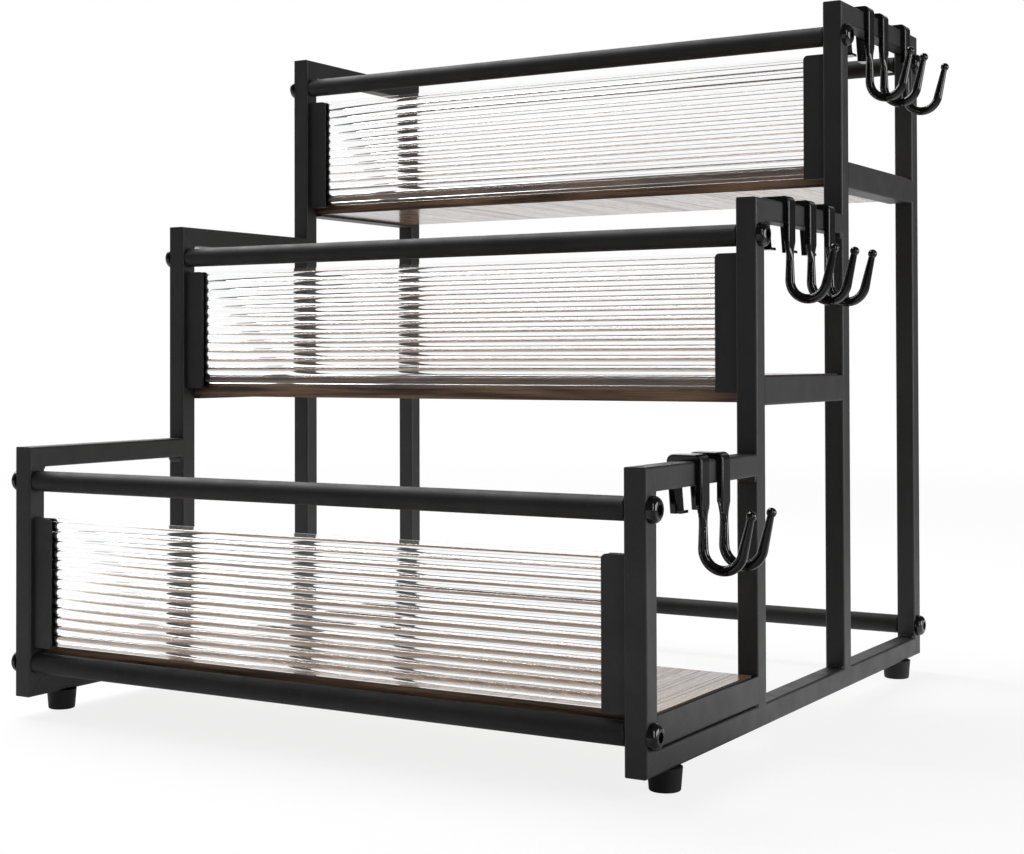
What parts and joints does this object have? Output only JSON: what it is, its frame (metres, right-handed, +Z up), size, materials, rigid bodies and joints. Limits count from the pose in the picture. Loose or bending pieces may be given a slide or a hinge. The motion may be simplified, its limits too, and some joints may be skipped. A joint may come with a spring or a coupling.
{
  "type": "coffee station organizer",
  "caption": "Stepped three-tier countertop organizer: black tube frame, wooden boards, clear ribbed front panels, round guard bars and sliding side hooks.",
  "frame": {"origin": "on the surface that it stands on, at the middle of the outline seen from above, with the hooks", "axes": "+X to the right along the boards, +Y from the low front tier to the high rear tier, +Z up"},
  "size_m": [0.3586, 0.339, 0.3448],
  "materials": {
    "frame": "satin black paint on welded square steel tube",
    "angle": "satin black paint on bent steel angle",
    "bracket": "satin black paint on thin bent steel",
    "bar": "satin black paint on round steel bar",
    "bolt": "glossy black coated button-head bolts",
    "hook": "glossy black",
    "board": "brown laminated board with a fine lengthwise grain",
    "panel": "clear, polished, with rounded ribs across the front",
    "foot": "matt black"
  },
  "bodies": {
    "organizer": {"left_post_1": "frame", "left_post_2": "frame", "left_post_3": "frame", "left_post_4": "frame", "left_top_rail_1": "frame", "left_angle_rail_1": "angle", "left_bracket_1": "bracket", "left_top_rail_2": "frame", "left_angle_rail_2": "angle", "left_bracket_2": "bracket", "left_top_rail_3": "frame", "left_angle_rail_3": "angle", "left_bracket_3": "bracket", "left_bottom_rail": "frame", "left_bolts": "bolt", "left_front_foot": "foot", "left_rear_foot": "foot", "right_post_1": "frame", "right_post_2": "frame", "right_post_3": "frame", "right_post_4": "frame", "right_top_rail_1": "frame", "right_angle_rail_1": "angle", "right_bracket_1": "bracket", "right_top_rail_2": "frame", "right_angle_rail_2": "angle", "right_bracket_2": "bracket", "right_top_rail_3": "frame", "right_angle_rail_3": "angle", "right_bracket_3": "bracket", "right_bottom_rail": "frame", "right_bolts": "bolt", "right_front_foot": "foot", "right_rear_foot": "foot", "guard_bar_1": "bar", "guard_bar_2": "bar", "guard_bar_3": "bar", "front_lower_bar": "bar", "rear_lower_bar": "bar", "rear_upper_bar": "bar", "board_1": "board", "ribbed_panel_1": "panel", "board_2": "board", "ribbed_panel_2": "panel", "board_3": "board", "ribbed_panel_3": "panel"},
    "hook_1_1": {"hook_1_1": "hook"},
    "hook_1_2": {"hook_1_2": "hook"},
    "hook_2_1": {"hook_2_1": "hook"},
    "hook_2_2": {"hook_2_2": "hook"},
    "hook_2_3": {"hook_2_3": "hook"},
    "hook_3_1": {"hook_3_1": "hook"},
    "hook_3_2": {"hook_3_2": "hook"},
    "hook_3_3": {"hook_3_3": "hook"}
  },
  "joints": [
    {"name": "hook_1_1_slide", "type": "slide", "parent": "organizer", "child": "hook_1_1", "axis": [0, 1, 0], "range_m": [-0.03447, 0.00575]},
    {"name": "hook_1_2_slide", "type": "slide", "parent": "organizer", "child": "hook_1_2", "axis": [0, 1, 0], "range_m": [-0.00575, 0.03407]},
    {"name": "hook_2_1_slide", "type": "slide", "parent": "organizer", "child": "hook_2_1", "axis": [0, 1, 0], "range_m": [-0.02081, 0.00863]},
    {"name": "hook_2_2_slide", "type": "slide", "parent": "organizer", "child": "hook_2_2", "axis": [0, 1, 0], "range_m": [-0.00863, 0.00764]},
    {"name": "hook_2_3_slide", "type": "slide", "parent": "organizer", "child": "hook_2_3", "axis": [0, 1, 0], "range_m": [-0.00764, 0.01625]},
    {"name": "hook_3_1_slide", "type": "slide", "parent": "organizer", "child": "hook_3_1", "axis": [0, 1, 0], "range_m": [-0.02226, 0.00641]},
    {"name": "hook_3_2_slide", "type": "slide", "parent": "organizer", "child": "hook_3_2", "axis": [0, 1, 0], "range_m": [-0.00641, 0.01321]},
    {"name": "hook_3_3_slide", "type": "slide", "parent": "organizer", "child": "hook_3_3", "axis": [0, 1, 0], "range_m": [-0.01321, 0.00906]}
  ]
}
